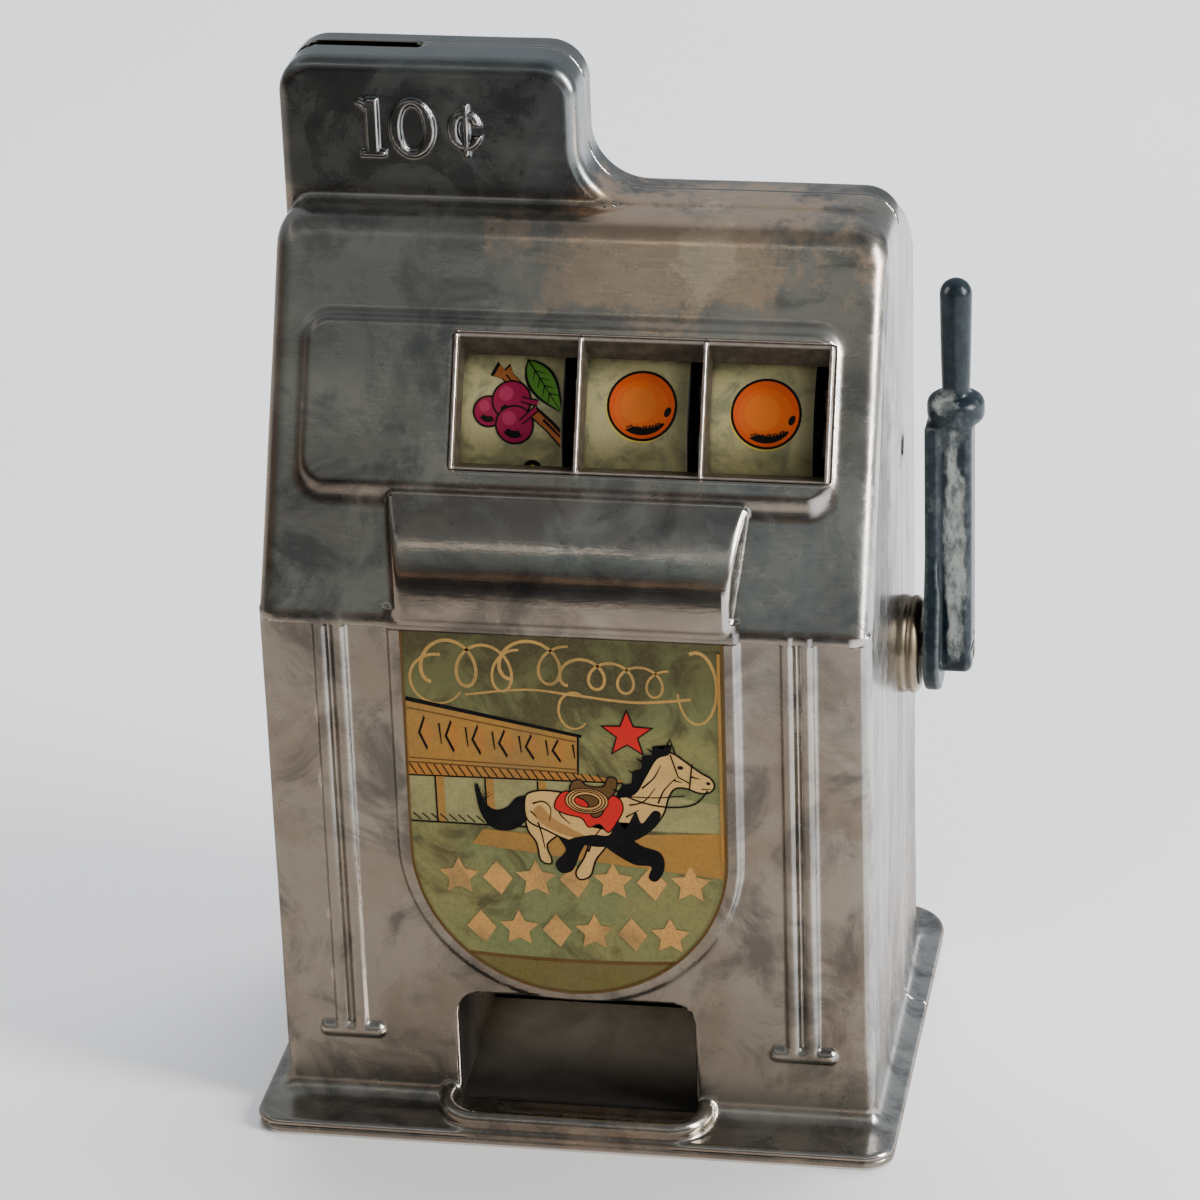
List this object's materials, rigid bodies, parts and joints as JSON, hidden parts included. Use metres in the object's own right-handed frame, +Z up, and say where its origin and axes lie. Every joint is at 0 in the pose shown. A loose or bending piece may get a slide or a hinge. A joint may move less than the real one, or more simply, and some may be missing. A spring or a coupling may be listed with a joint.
{
  "type": "toy slot machine bank",
  "caption": "Pressed metal toy slot machine bank with three picture reels, a side handle, a coin slot in the tower and a payout tray.",
  "frame": {"origin": "centre of the flat underside of the base plate", "axes": "+Z up, +X to the right as the player faces it, where the handle is, +Y to the back"},
  "size_m": [0.1179, 0.0874, 0.1753],
  "materials": {
    "nickel_case": "aged nickel plate with dull and stained areas",
    "bright_trim": "bright nickel",
    "worn_steel": "worn, dull",
    "plain_steel": "zinc plated, dull",
    "spring_steel": "blued spring steel",
    "brass_bush": "plain",
    "painted_zinc": "dark blue-grey paint, worn at the edges",
    "label_paper": "aged printed paper",
    "reel_paper": "aged printed paper",
    "drum_steel": "dull tinplate",
    "dark_tray": "dull, darkened"
  },
  "bodies": {
    "housing": {"front_shell": "nickel_case", "rear_shell": "nickel_case", "base_plate": "nickel_case", "window_grille": "bright_trim", "front_label": "label_paper", "case_screws": "worn_steel", "screw_posts": "plain_steel", "mechanism_deck": "plain_steel", "reel_axle": "plain_steel", "axle_clips": "plain_steel", "reel_spacers": "plain_steel", "frame_left": "plain_steel", "frame_right": "plain_steel", "cross_rods": "plain_steel", "detent_bar": "plain_steel", "detent_springs": "spring_steel", "shaft_bushes": "brass_bush", "return_spring": "spring_steel", "handle_boss": "worn_steel", "coin_chute": "plain_steel", "lever_bracket": "plain_steel", "lever_pin": "plain_steel", "payout_tunnel": "dark_tray", "gate_pin": "plain_steel"},
    "handle": {"handle_lever": "painted_zinc", "handle_shaft": "plain_steel", "handle_screw": "worn_steel", "shaft_clip": "spring_steel", "kicker": "plain_steel"},
    "reel_1": {"reel_drum_1": "drum_steel", "reel_strip_1": "reel_paper", "star_wheel_1": "plain_steel"},
    "reel_2": {"reel_drum_2": "drum_steel", "reel_strip_2": "reel_paper", "star_wheel_2": "plain_steel"},
    "reel_3": {"reel_drum_3": "drum_steel", "reel_strip_3": "reel_paper", "star_wheel_3": "plain_steel"},
    "coin_trip": {"coin_trip_lever": "brass_bush"},
    "gate": {"payout_gate": "dark_tray"},
    "plug": {"coin_plug": "worn_steel"}
  },
  "joints": [
    {"name": "handle_pull", "type": "hinge", "parent": "housing", "child": "handle", "pos_m": [0.05, 0.0084, 0.0717], "axis": [1, 0, 0], "range_deg": [0, 60], "stiffness_Nm_per_rad": 0.03, "springref_deg": -34.38},
    {"name": "reel_1_spin", "type": "hinge", "parent": "housing", "child": "reel_1", "pos_m": [-0.0107, 0.0041, 0.1132], "axis": [1, 0, 0], "continuous": true},
    {"name": "reel_2_spin", "type": "hinge", "parent": "housing", "child": "reel_2", "pos_m": [0.00975, 0.0041, 0.1132], "axis": [1, 0, 0], "continuous": true},
    {"name": "reel_3_spin", "type": "hinge", "parent": "housing", "child": "reel_3", "pos_m": [0.0302, 0.0041, 0.1132], "axis": [1, 0, 0], "continuous": true},
    {"name": "coin_trip_press", "type": "hinge", "parent": "housing", "child": "coin_trip", "pos_m": [-0.0244, 0.008, 0.1], "axis": [0, -1, 0], "range_deg": [0, 25], "stiffness_Nm_per_rad": 0.0004, "springref_deg": -17.19},
    {"name": "payout_gate_swing", "type": "hinge", "parent": "housing", "child": "gate", "pos_m": [0, -0.0022, 0.0224], "axis": [-1, 0, 0], "range_deg": [0, 70]},
    {"name": "coin_plug_turn", "type": "hinge", "parent": "housing", "child": "plug", "pos_m": [0.022, 0.014, 0.001], "axis": [0, 0, 1], "range_deg": [0, 90]}
  ]
}
